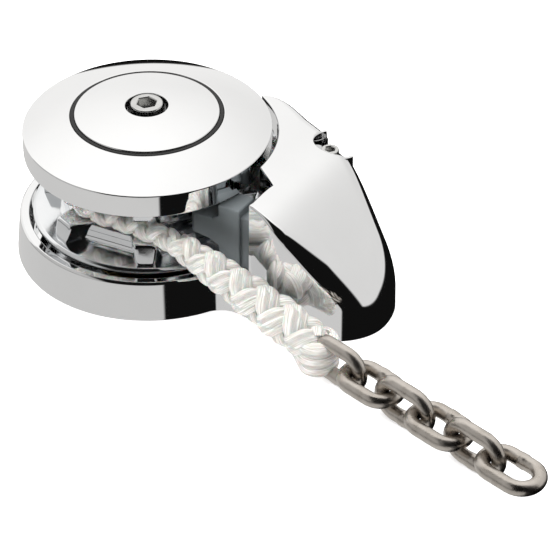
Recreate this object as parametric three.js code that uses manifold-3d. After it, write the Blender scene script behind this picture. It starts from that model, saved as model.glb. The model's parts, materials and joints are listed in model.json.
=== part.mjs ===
// Deck unit of a low-profile vertical anchor windlass, with the rope and chain that lie in it.
// Millimetres, +Z up. The main shaft stands on the origin, z = 0 is the deck, and the nose points along +X.
import * as THREE from "three";
import { mergeVertices } from "three/addons/utils/BufferGeometryUtils.js";
import Module from "manifold-3d";

const wasm = await Module();
wasm.setup();

// Clearances
const gap = 0.3; // between pieces that touch
const runningGap = 0.7; // between turning and standing pieces
const overcut = 1; // how far a cutter reaches past the face it opens

// Base casting and nose
const baseRadius = 75.8;
const baseTopRadius = 73;
const baseHeight = 23.8;
const baseFloor = 6;
const wall = 4;
const noseReach = 153.2; // shaft axis to the tip of the nose
const noseBend = 47; // how far before the tip the roof turns down
const noseSlope = 1.2;
const noseBlend = 6; // length over which the roof turns down
const sideAngle = THREE.MathUtils.degToRad(66.5); // direction of the nose sides' normals from +X
const farOffset = baseRadius + 7.4;
const nearOffset = baseRadius + 3.7;
const noseRound = 15; // length of the nose's round end
const waistHalf = 31; // half width of the nose beside the rope
const mouthX = baseRadius + 10.4; // wall that the stripper is screwed to
const gasketThickness = 1.5;
const gasketInset = 3;
const chainPipeRadius = 19;
const chainPipe = { x: noseReach - 53.2, y: 9 };

// Shaft and its bearing
const shaftRadius = 10;
const bearingRadius = shaftRadius + 11;
const bearingHeight = 11;
const sealHeight = 2.2;
const circlipThickness = 1.2;
const hubWall = 6;
const keyWidth = 6;
const keyLength = 10;
const screwRadius = 6;
const screwHeadRadius = 9;
const screwHeadHeight = 11.8;
const screwHex = 10; // across flats
const screwLength = 31;
const threadPitch = 1.75;
const releaseTurn = THREE.MathUtils.degToRad(245);
const releaseLift = (threadPitch * releaseTurn) / (2 * Math.PI);

// Chainwheel
const flangeRadius = baseRadius - 9.9;
const flangeThickness = 2.3;
const grooveMid = 45.9; // height of the rope's centre in the groove
const grooveHalf = 7; // from there to the whelps
const ropeRadius = 6.3;
const coreRadius = 47;
const hubRadius = 39;
const whelpCount = 7;
const whelpReach = 61.8;
const whelpWidth = 9.5;
const whelpPhase = THREE.MathUtils.degToRad(-58.6);
const coneMouth = 33.2;
const coneDepth = 13.5;
const coneTaper = 4.3;
const bushWall = 3.4;

// Cap
const capRadius = 69;
const capSkirt = 3.7;
const capBottom = 2 * grooveMid - baseHeight - 3.6; // the skirt hangs over the wheel's top
const capRimTop = capBottom + 13.6;
const domeTop = capBottom + 27.5;
const insertRadius = 40;
const ringGroove = 2.4;
const insertBottom = capBottom + 19.8;
const sealDepth = 1.8;
const socketRadius = 11.8;
const crescentRadius = capRadius + 3.3;
const noseTop = capBottom + 11;
const lipBottom = capBottom - 3.4; // underside of the lip round the cap

// Stripper, pressure arm and their fasteners
const stripperFront = -26;
const stripperBack = -10;
const stripperReach = 46;
const stripperRight = mouthX - 10.4;
const stripperTop = capBottom - 1.7;
const smallScrewRadius = 2.5;
const armPivot = { x: baseRadius + 16.7, y: 41.5 };
const pivotRadius = 3;
const armEye = 5.6;
const armHeight = 9;
const armBottom = grooveMid - 4.7;
const recessRadius = 11.5;
const recessFloor = capBottom + 0.2;
const springWire = 1.4;
const springTurns = 3;

// Chain: wire, and half length and half width of a link's centreline
const wireRadius = 3.9;
const linkHalfLength = 16;
const linkHalfWidth = 9.5;
const linkStep = 23.9;
const linkCount = 6;
const chainHeading = THREE.MathUtils.degToRad(-13.6);
const chainStart = new THREE.Vector3(155.8, -56.8, 14.1);
const chainHeight = 13.7;
const spliceEndRadius = 10.4;

// Finishes
const finish = (color, metalness, roughness) =>
  new THREE.MeshStandardMaterial({ color, metalness, roughness });
const chrome = finish(0xd8d9da, 1, 0.06);
const stainless = finish(0xb9bab8, 1, 0.25);
const galvanised = finish(0x7d766e, 0.9, 0.45);
const greyPlastic = finish(0x5f6669, 0, 0.5);
const blackRubber = finish(0x1c1c1d, 0, 0.8);
const bronze = finish(0xa8824a, 1, 0.35);
const whiteRope = finish(0xe9e6df, 0, 0.8);

// Closed solid of a three.js geometry
function solid(geometry) {
  const bare = geometry.clone();
  bare.deleteAttribute("normal");
  bare.deleteAttribute("uv");
  const merged = mergeVertices(bare, 1e-4);
  return new wasm.Manifold(
    new wasm.Mesh({
      numProp: 3,
      vertProperties: merged.attributes.position.array,
      triVerts: new Uint32Array(merged.index.array),
    }),
  );
}

// Geometry of a solid
function geometryOf(made) {
  const mesh = made.getMesh();
  const geometry = new THREE.BufferGeometry();
  geometry.setAttribute("position", new THREE.BufferAttribute(mesh.vertProperties, 3));
  geometry.setIndex(new THREE.BufferAttribute(mesh.triVerts, 1));
  const faceted = geometry.toNonIndexed();
  faceted.computeVertexNormals();
  return faceted;
}

// Solid turned about Z from a closed outline of [radius, height] points
function turned(points, sides = 48) {
  const profile = points.map(([radius, height]) => new THREE.Vector2(radius, height));
  profile.push(profile[0].clone());
  return solid(new THREE.LatheGeometry(profile, sides).rotateX(Math.PI / 2));
}

// Ring or disc about Z between two heights
function ring(inner, outer, bottom, top, sides = 48) {
  return turned([[inner, bottom], [outer, bottom], [outer, top], [inner, top]], sides);
}

// Upright cylinder
function post(radius, bottom, top, x = 0, y = 0, sides = 32) {
  const geometry = new THREE.CylinderGeometry(radius, radius, top - bottom, sides);
  geometry.rotateX(Math.PI / 2);
  geometry.translate(x, y, (bottom + top) / 2);
  return solid(geometry);
}

// Cylinder along X
function rod(radius, left, right, y, z, sides = 20) {
  const geometry = new THREE.CylinderGeometry(radius, radius, right - left, sides);
  geometry.rotateZ(Math.PI / 2);
  geometry.translate((left + right) / 2, y, z);
  return solid(geometry);
}

function block(low, high) {
  const size = high.map((value, i) => value - low[i]);
  const geometry = new THREE.BoxGeometry(...size);
  geometry.translate(...low.map((value, i) => value + size[i] / 2));
  return solid(geometry);
}

// Plan shape pulled up between two heights
function prism(shape, bottom, top, curveSegments = 12) {
  const settings = { depth: top - bottom, bevelEnabled: false, curveSegments };
  const geometry = new THREE.ExtrudeGeometry(shape, settings);
  geometry.translate(0, 0, bottom);
  return solid(geometry);
}

// Shape drawn in X and Z, pulled along Y from front to back
function slab(shape, front, back, curveSegments = 12) {
  const settings = { depth: back - front, bevelEnabled: false, curveSegments };
  const geometry = new THREE.ExtrudeGeometry(shape, settings);
  geometry.rotateX(Math.PI / 2);
  geometry.translate(0, back, 0);
  return solid(geometry);
}

const cut = (body, ...tools) => tools.reduce((left, tool) => left.subtract(tool), body);
const join = (first, ...others) => others.reduce((sum, other) => sum.add(other), first);
const polygon = (points) => new THREE.Shape(points.map(([x, y]) => new THREE.Vector2(x, y)));

const group = new THREE.Group();
group.name = "anchor_windlass";

function add(name, made, material) {
  const mesh = new THREE.Mesh(geometryOf(made), material);
  mesh.name = name;
  group.add(mesh);
}

// Point on one of the nose's straight sides; side is 1 for +Y and -1 for -Y
function sidePoint(offset, along, side) {
  const x = Math.cos(sideAngle) * offset + Math.sin(sideAngle) * along;
  const y = Math.sin(sideAngle) * offset - Math.cos(sideAngle) * along;
  return [x, side * y];
}

// How far along its side the nose's round end starts
function roundStart(offset) {
  return (noseReach - noseRound - Math.cos(sideAngle) * offset) / Math.sin(sideAngle);
}

// Plan of the nose, drawn in from its edge by inset
function noseOutline(inset) {
  const far = farOffset - inset;
  const near = nearOffset - inset;
  const tip = noseReach - inset;
  const foot = baseRadius - 1 - inset;
  const waist = -(waistHalf - inset);
  const waistX = mouthX - 10;
  const shape = new THREE.Shape();
  shape.moveTo(foot * 0.485, foot * 0.875);
  shape.quadraticCurveTo(...sidePoint(far, 10 + inset, 1), ...sidePoint(far, 25, 1));
  shape.lineTo(...sidePoint(far, roundStart(far), 1));
  const farHandle = sidePoint(far, roundStart(far) + noseRound * 0.85, 1);
  shape.bezierCurveTo(...farHandle, tip, noseRound * 0.75, tip, 0);
  const nearHandle = sidePoint(near, roundStart(near) + noseRound * 0.85, -1);
  const nearSide = sidePoint(near, roundStart(near), -1);
  shape.bezierCurveTo(tip, -noseRound * 0.75, ...nearHandle, ...nearSide);
  shape.lineTo(...sidePoint(near, roundStart(near) - 29, -1));
  const flare = sidePoint(near, roundStart(near) - 39, -1);
  shape.bezierCurveTo(...flare, mouthX + 9, waist, waistX, waist);
  shape.quadraticCurveTo(waistX - 8, waist, foot * 0.81, -foot * 0.585);
  shape.lineTo(foot * 0.6, -foot * 0.3);
  shape.lineTo(foot * 0.4, foot * 0.6);
  shape.closePath();
  return shape;
}

// Height of the nose's roof: level, then down to the tip in one soft bend
function roofHeight(x) {
  const bend = noseReach - noseBend;
  return noseTop - noseSlope * noseBlend * Math.log(1 + Math.exp((x - bend) / noseBlend));
}

// Everything under the roof, lowered by inset
function underRoof(inset) {
  const left = 20;
  const steps = 22;
  const points = [[left, -overcut], [noseReach + overcut, -overcut]];
  for (let i = 0; i <= steps; i++) {
    const x = noseReach + overcut - ((noseReach + overcut - left) * i) / steps;
    points.push([x, roofHeight(x) - inset]);
  }
  return slab(polygon(points), -2 * baseRadius, 2 * baseRadius);
}

// Base ring and nose, one casting, hollow and open towards the wheel
function makeBase() {
  const ringSolid = turned([
    [0, 0], [baseRadius, 0], [baseTopRadius, baseHeight - 1.4], [baseTopRadius - 1.6, baseHeight],
    [0, baseHeight],
  ], 80);
  const nose = prism(noseOutline(0), 0, noseTop + overcut, 14).intersect(underRoof(0));
  const well = ring(bearingRadius + hubWall, flangeRadius + 2.1, baseFloor + 2, noseTop + 9, 72);
  const aboveHub = post(bearingRadius + hubWall + overcut, hubTop, noseTop + 9);
  const crescent = post(crescentRadius, baseHeight + 0.1, noseTop + 9, 0, 0, 80);
  const notch = prism(polygon([
    [crescentRadius + 1.5, 0.6], [mouthX + 1.1, -10], [mouthX, -22], [mouthX, -2 * waistHalf],
    [0, -2 * waistHalf], [0, 0.6],
  ]), baseHeight + 0.1, noseTop + 9);
  const inner = prism(noseOutline(wall), baseFloor, noseTop, 10).intersect(underRoof(wall));
  const pad = block([0, -2 * waistHalf, 0], [mouthX + wall, -12, noseTop + 9]);
  const behindLip = cut(inner, post(crescentRadius + wall, 0, noseTop + 9, 0, 0, 80), pad);
  const mouth = cut(inner, post(noseReach * 2, 0, baseHeight + 0.1), post(noseReach * 2, lipBottom, 99), pad);
  const pipe = post(chainPipeRadius, -overcut, baseFloor + overcut, chainPipe.x, chainPipe.y, 36);
  const recess = { x: armPivot.x + 1, y: armPivot.y + 4 };
  const shelf = post(recessRadius + 2.5, recessFloor - 6, noseTop, recess.x, recess.y)
    .intersect(nose);
  const boss = post(armEye + 1.5, baseFloor - overcut, armBottom - gap, armPivot.x, armPivot.y)
    .intersect(nose);
  const scoop = post(recessRadius, recessFloor, noseTop + 9, recess.x, recess.y, 40);
  const eyeRoom = post(armEye + 0.5, armBottom - gap, recessFloor - 6, armPivot.x, armPivot.y);
  const boltHole = post(pivotRadius + gap, baseFloor + 4, noseTop, armPivot.x, armPivot.y, 24);
  const bearingBore = post(bearingRadius + gap, baseFloor, hubTop + overcut, 0, 0, 48);
  const shaftHole = post(bearingRadius - 6, -overcut, baseFloor + overcut, 0, 0, 48);
  const circlipGroove = ring(0.5, bearingRadius + 1.6, baseFloor + bearingHeight + 0.4,
    baseFloor + bearingHeight + 0.7 + circlipThickness + gap);
  const gasketBed = prism(noseOutline(gasketInset), -overcut, gasketThickness + gap, 10)
    .add(post(baseRadius - gasketInset, -overcut, gasketThickness + gap, 0, 0, 72));
  const screwHoles = screwHeights().map((z) =>
    rod(smallScrewRadius + gap, mouthX - overcut, mouthX + wall + overcut, lugY, z));
  const shell = cut(join(ringSolid, nose), well, aboveHub, crescent, notch, behindLip, mouth);
  return cut(join(shell, shelf, boss), scoop, eyeRoom, boltHole, pipe, bearingBore, shaftHole, circlipGroove,
    gasketBed, ...screwHoles);
}

const lugY = (stripperFront + stripperBack) / 2 + 1;
const screwHeights = () => [baseHeight + 12, baseHeight + 28];

function makeGasket() {
  const inset = gasketInset + gap;
  const plate = prism(noseOutline(inset), 0, gasketThickness, 10)
    .add(post(baseRadius - inset, 0, gasketThickness, 0, 0, 72));
  return cut(plate, post(bearingRadius + 2, -overcut, 2 * gasketThickness, 0, 0, 36),
    post(chainPipeRadius + 1, -overcut, 2 * gasketThickness, chainPipe.x, chainPipe.y, 36));
}

// Main shaft with its two keyways and the screw's bore
const hubTop = bearingHeight + 11;
const lowerConeBottom = hubTop + 2.2;
const wheelBottom = baseHeight;
const wheelTop = 2 * grooveMid - wheelBottom;
const upperConeTop = capBottom + 15;
const shaftTop = upperConeTop - 3;
const lowerKeyBottom = lowerConeBottom + 1.5;
const upperKeyBottom = wheelTop - coneDepth + 2.5;

function keySlot(width, bottom, top) {
  const depth = shaftRadius - 3;
  return block([depth, -width / 2, bottom], [shaftRadius + 2.8 + gap, width / 2, top]);
}

function makeShaft() {
  const chamfer = 0.8;
  const body = turned([
    [0, 0], [shaftRadius - chamfer, 0], [shaftRadius, chamfer], [shaftRadius, shaftTop - chamfer],
    [shaftRadius - chamfer, shaftTop], [0, shaftTop],
  ], 40);
  const bore = post(screwRadius + gap, headBottom - screwLength - 3, shaftTop + overcut, 0, 0, 28);
  const slot = (bottom) => keySlot(keyWidth + gap, bottom - gap, bottom + keyLength + gap);
  return cut(body, bore, slot(lowerKeyBottom), slot(upperKeyBottom));
}

function makeKey(bottom) {
  const width = keyWidth / 2;
  return block([shaftRadius - 3 + gap, -width, bottom], [shaftRadius + 2.8, width, bottom + keyLength]);
}

// Clutch cones: the lower one is widest at its foot, the upper one at its head
function makeLowerCone() {
  const top = wheelBottom + coneDepth - gap - 0.3;
  const body = turned([
    [shaftRadius + gap / 2, lowerConeBottom], [coneMouth - gap - 0.2, lowerConeBottom],
    [coneMouth - coneTaper - gap, top], [shaftRadius + gap / 2, top],
  ]);
  return cut(body, keySlot(keyWidth + gap, lowerConeBottom - overcut, top + overcut));
}

function makeUpperCone() {
  const foot = wheelTop - coneDepth + gap + 0.3;
  const shoulder = wheelTop - 0.4;
  const nest = socketRadius + 4.6;
  const body = turned([
    [shaftRadius + gap / 2, foot], [coneMouth - coneTaper - gap, foot],
    [coneMouth - gap - 0.2, shoulder], [nest + 9, shoulder + 1], [nest + 9, upperConeTop],
    [nest, upperConeTop], [nest, shaftTop + gap], [shaftRadius + gap / 2, shaftTop + gap],
  ]);
  return cut(body, keySlot(keyWidth + gap, foot - overcut, shaftTop + 2 * overcut));
}

// Chainwheel: two flanges, a core with seven whelps each side, and a cone seat each side
function makeWheel() {
  const pocket = wheelBottom + flangeThickness + 1.6;
  const coreTop = grooveMid - grooveHalf - 3.4;
  const mirror = (z) => 2 * grooveMid - z;
  const seat = coneMouth - coneTaper;
  const bore = shaftRadius + bushWall + 2 * gap;
  const upperReach = capRadius - capSkirt - 1.8;
  const profile = [
    [coneMouth, wheelBottom], [flangeRadius, wheelBottom], [flangeRadius, wheelBottom + flangeThickness],
    [flangeRadius - 1.6, pocket - 0.8], [coreRadius, pocket], [coreRadius, coreTop - 1.2],
    [coreRadius - 1.2, coreTop], [hubRadius, coreTop + 2], [hubRadius, mirror(coreTop + 2)],
    [coreRadius - 1.2, mirror(coreTop)], [coreRadius, mirror(coreTop - 1.2)],
    [coreRadius, mirror(pocket)], [upperReach, mirror(pocket - 0.8)], [upperReach, mirror(wheelBottom)],
    [coneMouth, mirror(wheelBottom)], [seat, mirror(wheelBottom + coneDepth)],
    [bore, mirror(wheelBottom + coneDepth)], [bore, wheelBottom + coneDepth],
    [seat, wheelBottom + coneDepth],
  ];
  const root = coreRadius - 3;
  const whelp = (reach) => polygon([
    [root, -whelpWidth * 0.8], [reach, -whelpWidth / 2], [reach, whelpWidth / 2],
    [root, whelpWidth * 0.8],
  ]);
  const whelps = [];
  for (let i = 0; i < whelpCount; i++) {
    const turn = THREE.MathUtils.radToDeg(whelpPhase) + (360 / whelpCount) * i;
    const lower = prism(whelp(whelpReach), pocket - 1.2, grooveMid - grooveHalf);
    const upper = prism(whelp(upperReach - 1.7), grooveMid + grooveHalf, mirror(pocket - 1.2));
    whelps.push(lower.rotate([0, 0, turn]), upper.rotate([0, 0, turn]));
  }
  return join(turned(profile, 56), ...whelps);
}

// Cap: a domed ring with a skirt, and a disc let into it
const domeFall = (domeTop - capRimTop) / ((capRadius - 1) * (capRadius - 1));
const domeHeight = (radius) => domeTop - domeFall * radius * radius;
const headTop = domeTop + 1.1;
const headBottom = headTop - screwHeadHeight;
const washerThickness = 1.2;

function makeCap() {
  const under = insertBottom - gap;
  const inner = capRadius - capSkirt;
  const dome = [];
  const steps = 5;
  for (let i = 0; i <= steps; i++) {
    const radius = capRadius - 1 - ((capRadius - 1 - insertRadius - ringGroove) * i) / steps;
    dome.push([radius, domeHeight(radius)]);
  }
  return turned([
    [socketRadius + 4.6, upperConeTop + gap], [insertRadius - 6, upperConeTop + gap],
    [inner - 3, capRimTop - 5], [inner, capRimTop - 8], [inner, capBottom], [capRadius, capBottom],
    [capRadius, capRimTop - 1.2], ...dome, [insertRadius + ringGroove, under],
    [socketRadius + 4.6, under],
  ], 72);
}

function makeInsert() {
  const hub = socketRadius + 4.3;
  const floor = headBottom - washerThickness - 2 * gap;
  const dome = [];
  const steps = 3;
  for (let i = 0; i <= steps; i++) {
    const radius = insertRadius - ((insertRadius - socketRadius) * i) / steps;
    dome.push([radius, domeHeight(radius)]);
  }
  return turned([
    [screwRadius + gap, shaftTop + 2 * gap], [hub, shaftTop + 2 * gap], [hub, insertBottom],
    [insertRadius, insertBottom], ...dome, [socketRadius, floor], [screwRadius + gap, floor],
  ], 54);
}

function makeInsertSeal() {
  return ring(insertRadius + gap, insertRadius + ringGroove - gap, insertBottom, insertBottom + sealDepth, 54);
}

function makeCapWasher() {
  const bottom = headBottom - washerThickness - gap;
  return ring(screwRadius + gap, socketRadius - 0.6, bottom, bottom + washerThickness, 32);
}

function makeClutchScrew() {
  const body = turned([
    [0, headBottom - screwLength], [screwRadius, headBottom - screwLength],
    [screwRadius, headBottom], [screwHeadRadius, headBottom], [screwHeadRadius, headTop - 1],
    [screwHeadRadius - 1, headTop], [0, headTop],
  ], 36);
  const corner = screwHex / Math.sqrt(3);
  return cut(body, post(corner, headTop - 6, headTop + overcut, 0, 0, 6));
}

function makeBearing() {
  const bottom = baseFloor + gap;
  return ring(shaftRadius + gap, bearingRadius, bottom, bottom + bearingHeight);
}

function makeCirclip() {
  const bottom = baseFloor + bearingHeight + 0.7;
  const band = ring(bearingRadius - 3, bearingRadius + 1.2, bottom, bottom + circlipThickness);
  return cut(band, block([0, -4, 0], [2 * bearingRadius, 4, hubTop]));
}

function makeSeal() {
  const bottom = baseFloor + bearingHeight + circlipThickness + 1.2;
  const lip = [
    [shaftRadius + gap, bottom], [bearingRadius, bottom], [bearingRadius, bottom + sealHeight],
    [shaftRadius + 4, bottom + sealHeight], [shaftRadius + 2.4, bottom + 1.2],
    [shaftRadius + gap, bottom + 1.4],
  ];
  return turned(lip, 36);
}

function makeThrustWasher() {
  return ring(shaftRadius + gap, shaftRadius + 13, hubTop + gap, lowerConeBottom - gap, 36);
}

function makeWheelBush() {
  const bottom = wheelBottom + coneDepth + 2 * gap;
  return ring(shaftRadius + gap, shaftRadius + bushWall, bottom, 2 * grooveMid - bottom, 36);
}

// Stripper: an upright block with a finger that reaches into the wheel's groove
function makeStripper() {
  const fingerTop = grooveMid + 5.6;
  const fingerBottom = grooveMid - 6.2;
  const stepX = stripperRight - 15;
  const outline = polygon([
    [stripperReach - 8, fingerBottom], [stepX - 5, fingerBottom - 1.6], [stepX - 1.5, fingerBottom - 3],
    [stepX + 1, fingerBottom - 7], [stepX + 6, baseHeight + 2.5], [stripperRight, baseHeight + 2.5],
    [stripperRight, stripperTop], [stepX + 1.6, stripperTop], [stepX + 0.9, fingerTop + 5.5],
    [stepX - 2, fingerTop + 1], [stripperReach - 8, fingerTop],
  ]);
  const plate = slab(outline, stripperFront, stripperBack);
  const lug = block([stripperRight - 6, lugY - 7, baseHeight + gap + 0.3], [mouthX - gap, lugY + 6, lipBottom - 3]);
  const clear = flangeRadius + 2 * runningGap;
  const above = post(clear, fingerTop + 0.1, stripperTop + overcut, 0, 0, 72);
  const below = post(clear, baseHeight, fingerBottom - 0.1, 0, 0, 72);
  const tip = prism(polygon([
    [0, stripperFront - overcut], [stripperReach, stripperFront - overcut],
    [stripperReach - 3.5, stripperFront + 5], [stripperReach - 5, stripperBack + overcut],
    [0, stripperBack + overcut],
  ]), fingerBottom - overcut, fingerTop + overcut);
  const hub = post(hubRadius + 2 * runningGap, baseHeight, stripperTop + overcut, 0, 0, 56);
  const holes = screwHeights().map((z) =>
    rod(smallScrewRadius + gap, stripperRight - 3, mouthX + overcut, lugY, z));
  return cut(join(plate, lug), above, below, tip, hub, ...holes);
}

function makeStripperScrew(z) {
  const head = rod(4.2, mouthX + wall + gap, mouthX + wall + gap + 4.5, lugY, z);
  return head.add(rod(smallScrewRadius, stripperRight - 2, mouthX + wall + 1, lugY, z));
}

// Bolt that the pressure arm swings on, seen in the recess on the nose's far shoulder
function makePivotBolt() {
  const shank = post(pivotRadius, baseFloor + 5, recessFloor + 1, armPivot.x, armPivot.y, 24);
  const head = post(5, recessFloor + gap, recessFloor + gap + 6, armPivot.x, armPivot.y, 28);
  const socket = post(5 / Math.sqrt(3), recessFloor + 3, recessFloor + 8, armPivot.x, armPivot.y, 6);
  return cut(head.add(shank), socket);
}

// Pressure arm: an eye on the bolt, a bent bar, and a pad along the rope's outer side
function makeArm() {
  const { x, y } = armPivot;
  const bar = polygon([
    [x, y + armEye - 0.6], [x - 30, y + 1.5], [x - 51, y + 8.5], [x - 65, y + 13.5], [x - 67.5, y + 7.6],
    [x - 56, y + 2.4], [x - 32, y - 5.5], [x, y - armEye + 0.6],
  ]);
  const body = prism(bar, armBottom, armBottom + armHeight)
    .add(post(armEye, armBottom, armBottom + armHeight, x, y, 28));
  return cut(body, post(pivotRadius + 1.6, armBottom - overcut, 99, x, y, 24));
}

function makeArmBush() {
  const { x, y } = armPivot;
  const bottom = armBottom + gap;
  const sleeve = post(pivotRadius + 1.3, bottom, armBottom + armHeight - gap, x, y, 24);
  return cut(sleeve, post(pivotRadius + gap, 0, 99, x, y, 24));
}

// Torsion spring round the bolt, with one leg along the top of the arm
function makeSpring() {
  const { x, y } = armPivot;
  const radius = pivotRadius + gap + springWire / 2 + 0.4;
  const bottom = armBottom + armHeight + gap + springWire / 2;
  const perTurn = 8;
  const points = [new THREE.Vector3(x - 16, y - 3.4, bottom)];
  for (let i = 0; i <= springTurns * perTurn; i++) {
    const angle = -Math.PI / 2 - (2 * Math.PI * i) / perTurn;
    const z = bottom + ((springWire + 0.35) * i) / perTurn;
    points.push(new THREE.Vector3(x + radius * Math.cos(angle), y + radius * Math.sin(angle), z));
  }
  const path = new THREE.CatmullRomCurve3(points, false, "centripetal");
  const section = new THREE.Shape().absarc(0, 0, springWire / 2, 0, 2 * Math.PI);
  const settings = { steps: Math.round(points.length * 1.5), extrudePath: path, curveSegments: 3 };
  return solid(new THREE.ExtrudeGeometry(section, settings));
}

// Rope: up out of the chain pipe, back round the wheel's far side and out along its near side
const wrapRadius = hubRadius + ropeRadius + runningGap;

function ropePoints() {
  const toPipe = Math.hypot(chainPipe.x, chainPipe.y);
  const leave = Math.atan2(chainPipe.y, chainPipe.x) + Math.acos(wrapRadius / toPipe);
  const start = new THREE.Vector2(Math.cos(leave), Math.sin(leave)).multiplyScalar(wrapRadius);
  const pipe = new THREE.Vector2(chainPipe.x, chainPipe.y);
  const level = grooveMid;
  const bend = 25;
  const points = [];
  for (const z of [1, 6, 11, 16]) points.push(new THREE.Vector3(pipe.x, pipe.y, z));
  const back = start.clone().sub(pipe).normalize();
  for (let i = 0; i <= 4; i++) {
    const turn = (i / 4) * (Math.PI / 2);
    const out = bend * (1 - Math.cos(turn));
    const spot = pipe.clone().addScaledVector(back, out);
    points.push(new THREE.Vector3(spot.x, spot.y, level - bend + bend * Math.sin(turn)));
  }
  for (const share of [0.35, 0.7]) {
    const spot = pipe.clone().addScaledVector(back, bend).lerp(start, share);
    points.push(new THREE.Vector3(spot.x, spot.y, level));
  }
  const arrive = THREE.MathUtils.degToRad(280);
  const wraps = 17;
  for (let i = 0; i <= wraps; i++) {
    const angle = leave + ((arrive - leave) * i) / wraps;
    points.push(new THREE.Vector3(wrapRadius * Math.cos(angle), wrapRadius * Math.sin(angle), level));
  }
  points.push(new THREE.Vector3(19, -45.2, level));
  points.push(new THREE.Vector3(31, -46, level + 0.1));
  points.push(new THREE.Vector3(41, -46.7, level));
  points.push(spliceStart.clone());
  return points;
}

// Round stick from one point to another, with a radius at each share of its length
function taper(from, to, radii, sides) {
  const length = from.distanceTo(to);
  const profile = [new THREE.Vector2(0, 0)];
  for (const [share, radius] of radii) profile.push(new THREE.Vector2(radius, length * share));
  profile.push(new THREE.Vector2(0, length));
  const geometry = new THREE.LatheGeometry(profile, sides);
  const along = to.clone().sub(from).normalize();
  geometry.applyQuaternion(new THREE.Quaternion().setFromUnitVectors(new THREE.Vector3(0, 1, 0), along));
  geometry.translate(from.x, from.y, from.z);
  return solid(geometry);
}

const spliceStart = new THREE.Vector3(50, -47.3, 45.2);
const spliceEnd = new THREE.Vector3(147, -54.2, 15.6);

function makeRope() {
  const path = new THREE.CatmullRomCurve3(ropePoints(), false, "centripetal");
  const section = new THREE.Shape().absarc(0, 0, ropeRadius, 0, 2 * Math.PI);
  return solid(new THREE.ExtrudeGeometry(section, { steps: 66, extrudePath: path, curveSegments: 4 }));
}

// One chain link: a ring drawn out at its two ends; radius is the wire's
function linkSolid(index, radius) {
  const geometry = new THREE.TorusGeometry(linkHalfWidth, radius, 8, 20);
  const stretch = linkHalfLength - linkHalfWidth;
  const position = geometry.attributes.position;
  for (let i = 0; i < position.count; i++) {
    const x = position.getX(i);
    if (Math.abs(x) > 0.01) position.setX(i, x + Math.sign(x) * stretch);
  }
  if (index % 2 === 0) geometry.rotateX(Math.PI / 2);
  geometry.rotateZ(chainHeading);
  const step = index * linkStep;
  const x = chainStart.x + step * Math.cos(chainHeading);
  const y = chainStart.y + step * Math.sin(chainHeading);
  geometry.translate(x, y, index === 0 ? chainStart.z : chainHeight);
  return solid(geometry);
}

// Splice: the tapered thick end of the rope, worked round the first link
function makeSplice() {
  const along = spliceEnd.clone().sub(spliceStart).normalize();
  const from = spliceStart.clone().addScaledVector(along, 6 * gap);
  const radii = [[0, ropeRadius], [0.15, 7.4], [0.42, spliceEndRadius - 0.4], [0.9, spliceEndRadius], [1, 7.5]];
  return cut(taper(from, spliceEnd, radii, 12), linkSolid(0, wireRadius + gap));
}

add("base_housing", makeBase(), chrome);
add("deck_gasket", makeGasket(), blackRubber);
add("shaft_bearing", makeBearing(), stainless);
add("bearing_circlip", makeCirclip(), stainless);
add("shaft_seal", makeSeal(), blackRubber);
add("stripper", makeStripper(), greyPlastic);
const screwNames = ["stripper_screw_lower", "stripper_screw_upper"];
screwHeights().forEach((z, i) => add(screwNames[i], makeStripperScrew(z), stainless));
add("arm_pivot_bolt", makePivotBolt(), stainless);
add("arm_spring", makeSpring(), stainless);

add("main_shaft", makeShaft(), stainless);
add("drive_key_lower", makeKey(lowerKeyBottom), stainless);
add("drive_key_upper", makeKey(upperKeyBottom), stainless);
add("thrust_washer", makeThrustWasher(), bronze);
add("lower_clutch_cone", makeLowerCone(), bronze);

add("chainwheel", makeWheel(), chrome);
add("chainwheel_bush", makeWheelBush(), bronze);

add("upper_clutch_cone", makeUpperCone(), bronze);
add("clutch_cap", makeCap(), chrome);
add("cap_insert", makeInsert(), chrome);
add("insert_seal", makeInsertSeal(), blackRubber);
add("cap_washer", makeCapWasher(), stainless);
add("clutch_screw", makeClutchScrew(), stainless);

add("pressure_arm", makeArm(), stainless);
add("pressure_arm_bush", makeArmBush(), bronze);

add("rope", makeRope(), whiteRope);
add("rope_splice", makeSplice(), whiteRope);
for (let i = 0; i < linkCount; i++) add("chain_link_" + (i + 1), linkSolid(i, wireRadius), galvanised);

export default group;
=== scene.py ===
import json
import math

import bmesh
import bpy
import numpy as np
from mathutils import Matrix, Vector


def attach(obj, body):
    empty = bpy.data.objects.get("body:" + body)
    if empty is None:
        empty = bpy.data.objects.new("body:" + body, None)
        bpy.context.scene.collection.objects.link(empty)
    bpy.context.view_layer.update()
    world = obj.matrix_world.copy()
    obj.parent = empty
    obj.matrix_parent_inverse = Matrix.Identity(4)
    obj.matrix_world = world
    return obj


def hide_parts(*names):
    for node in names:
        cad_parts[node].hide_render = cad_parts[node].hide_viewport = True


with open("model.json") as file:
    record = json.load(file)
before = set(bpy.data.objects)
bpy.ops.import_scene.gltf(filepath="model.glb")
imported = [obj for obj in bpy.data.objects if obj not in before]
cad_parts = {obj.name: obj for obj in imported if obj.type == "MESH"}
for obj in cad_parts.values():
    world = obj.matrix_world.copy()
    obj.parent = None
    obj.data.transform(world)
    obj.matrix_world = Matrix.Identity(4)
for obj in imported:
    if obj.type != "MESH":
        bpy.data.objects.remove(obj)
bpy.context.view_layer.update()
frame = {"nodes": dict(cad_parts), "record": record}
scene = bpy.context.scene
mm = 0.001


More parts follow.
